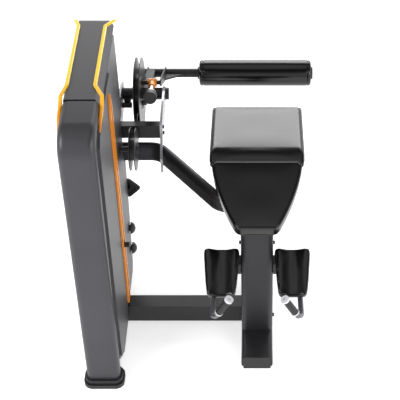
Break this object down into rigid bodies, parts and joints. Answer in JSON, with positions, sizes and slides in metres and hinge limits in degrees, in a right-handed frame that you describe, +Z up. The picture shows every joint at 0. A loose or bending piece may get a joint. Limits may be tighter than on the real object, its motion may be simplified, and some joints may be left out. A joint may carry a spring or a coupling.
{
  "type": "leg curl machine",
  "caption": "Prone leg curl machine: padded bench with elbow rests and hand grips, ankle roller on a pivoting lever, belt drive to a selectorised stack in a side tower.",
  "frame": {"origin": "middle of the overall bounding box, on the floor", "axes": "+Y runs from the head of the bench to the ankle roller, +X from the weight tower to the bench, +Z up"},
  "size_m": [1.1074, 1.516, 1.4998],
  "materials": {
    "frame_paint": "metallic dark grey powder coat",
    "hidden_steel": "satin dark powder coat",
    "plate_grey": "light grey painted plate",
    "cover_paint": "satin mid grey",
    "black_rubber": "matt",
    "trim_yellow": "gloss",
    "trim_orange": "gloss",
    "black_plastic": "satin moulded",
    "bright_steel": "bright",
    "stack_iron": "painted plates",
    "board_wood": "plywood, dark edge",
    "black_vinyl": "upholstery vinyl, slightly shiny",
    "lever_paint": "black powder coat",
    "belt": "flat reinforced belt"
  },
  "bodies": {
    "frame": {"front_upright": "frame_paint", "rear_upright": "hidden_steel", "tower_base_tube": "hidden_steel", "tower_top_tube": "hidden_steel", "front_foot": "black_rubber", "rear_foot": "black_rubber", "inner_bearing_plate": "plate_grey", "outer_bearing_plate": "hidden_steel", "pivot_crossbar": "frame_paint", "pivot_side_plate": "plate_grey", "floor_crossbar": "frame_paint", "bench_base_tube": "frame_paint", "base_end_caps": "black_rubber", "bench_post": "frame_paint", "bench_beam": "hidden_steel", "support_tube": "frame_paint", "top_cover": "cover_paint", "inner_shroud": "cover_paint", "outer_shroud": "cover_paint", "rear_cover": "hidden_steel", "trim_strips": "trim_yellow", "window_trim": "trim_orange", "cover_fixings": "black_plastic", "guide_rods": "bright_steel", "rod_bumpers": "black_rubber", "weight_plates": "stack_iron", "pulley_bracket": "hidden_steel", "chest_pad_board": "board_wood", "chest_pad": "black_vinyl", "thigh_pad_board": "board_wood", "thigh_pad": "black_vinyl", "pad_brackets": "hidden_steel", "left_elbow_pad": "black_vinyl", "right_elbow_pad": "black_vinyl", "elbow_brackets": "hidden_steel", "left_handle": "bright_steel", "right_handle": "bright_steel", "handle_grips": "black_rubber", "handle_end_caps": "bright_steel", "pivot_axle": "lever_paint", "rest_stop": "black_rubber", "frame_bolts": "black_plastic", "cam_belt": "belt", "stack_belt": "belt", "lift_belt": "belt"},
    "lifted_weight": {"head_plate": "stack_iron", "selector_stem": "bright_steel"},
    "selector_pin": {"selector_pin": "black_plastic"},
    "lever": {"lever_hub": "lever_paint", "cam_wheel": "black_plastic", "lever_arm": "lever_paint", "cross_rod": "lever_paint", "adjuster_sleeve": "trim_orange", "cheek_plates": "lever_paint", "roller_tube": "lever_paint"},
    "roller": {"roller_pad": "black_vinyl"},
    "adjuster_handle": {"adjuster_handle": "black_plastic"},
    "transfer_wheel": {"transfer_wheel": "black_plastic"},
    "front_pulley": {"front_pulley": "black_plastic"},
    "rear_pulley": {"rear_pulley": "black_plastic"}
  },
  "joints": [
    {"name": "lever_curl", "type": "hinge", "parent": "frame", "child": "lever", "pos_m": [-0.29625, 0.361, 0.918], "axis": [1, 0, 0], "range_deg": [0, 120]},
    {"name": "roller_spin", "type": "hinge", "parent": "lever", "child": "roller", "pos_m": [0.26375, 0.69001, 0.82428], "axis": [1, 0, 0], "continuous": true},
    {"name": "adjuster_pull", "type": "slide", "parent": "lever", "child": "adjuster_handle", "axis": [0, -0.9895, 0.1444], "range_m": [0, 0.014], "stiffness_N_per_m": 800},
    {"name": "stack_lift", "type": "slide", "parent": "frame", "child": "lifted_weight", "axis": [0, 0, 1], "range_m": [0, 0.25], "deforming": ["lift_belt"]},
    {"name": "pin_draw", "type": "slide", "parent": "lifted_weight", "child": "selector_pin", "axis": [1, 0, 0], "range_m": [0, 0.08]},
    {"name": "transfer_turn", "type": "hinge", "parent": "frame", "child": "transfer_wheel", "pos_m": [-0.32625, -0.038, 0.874], "axis": [1, 0, 0], "range_deg": [0, 215]},
    {"name": "front_pulley_turn", "type": "hinge", "parent": "frame", "child": "front_pulley", "pos_m": [-0.45875, -0.25, 1.3], "axis": [1, 0, 0], "range_deg": [-355, 0]},
    {"name": "rear_pulley_turn", "type": "hinge", "parent": "frame", "child": "rear_pulley", "pos_m": [-0.45875, -0.144, 1.3], "axis": [1, 0, 0], "range_deg": [-355, 0]}
  ],
  "couplings": [
    {"joint": "transfer_turn", "follows": "lever_curl", "ratio": 1.7857},
    {"joint": "stack_lift", "follows": "lever_curl", "m_per_rad": 0.11786},
    {"joint": "front_pulley_turn", "follows": "lever_curl", "ratio": -2.9464},
    {"joint": "rear_pulley_turn", "follows": "lever_curl", "ratio": -2.9464}
  ]
}
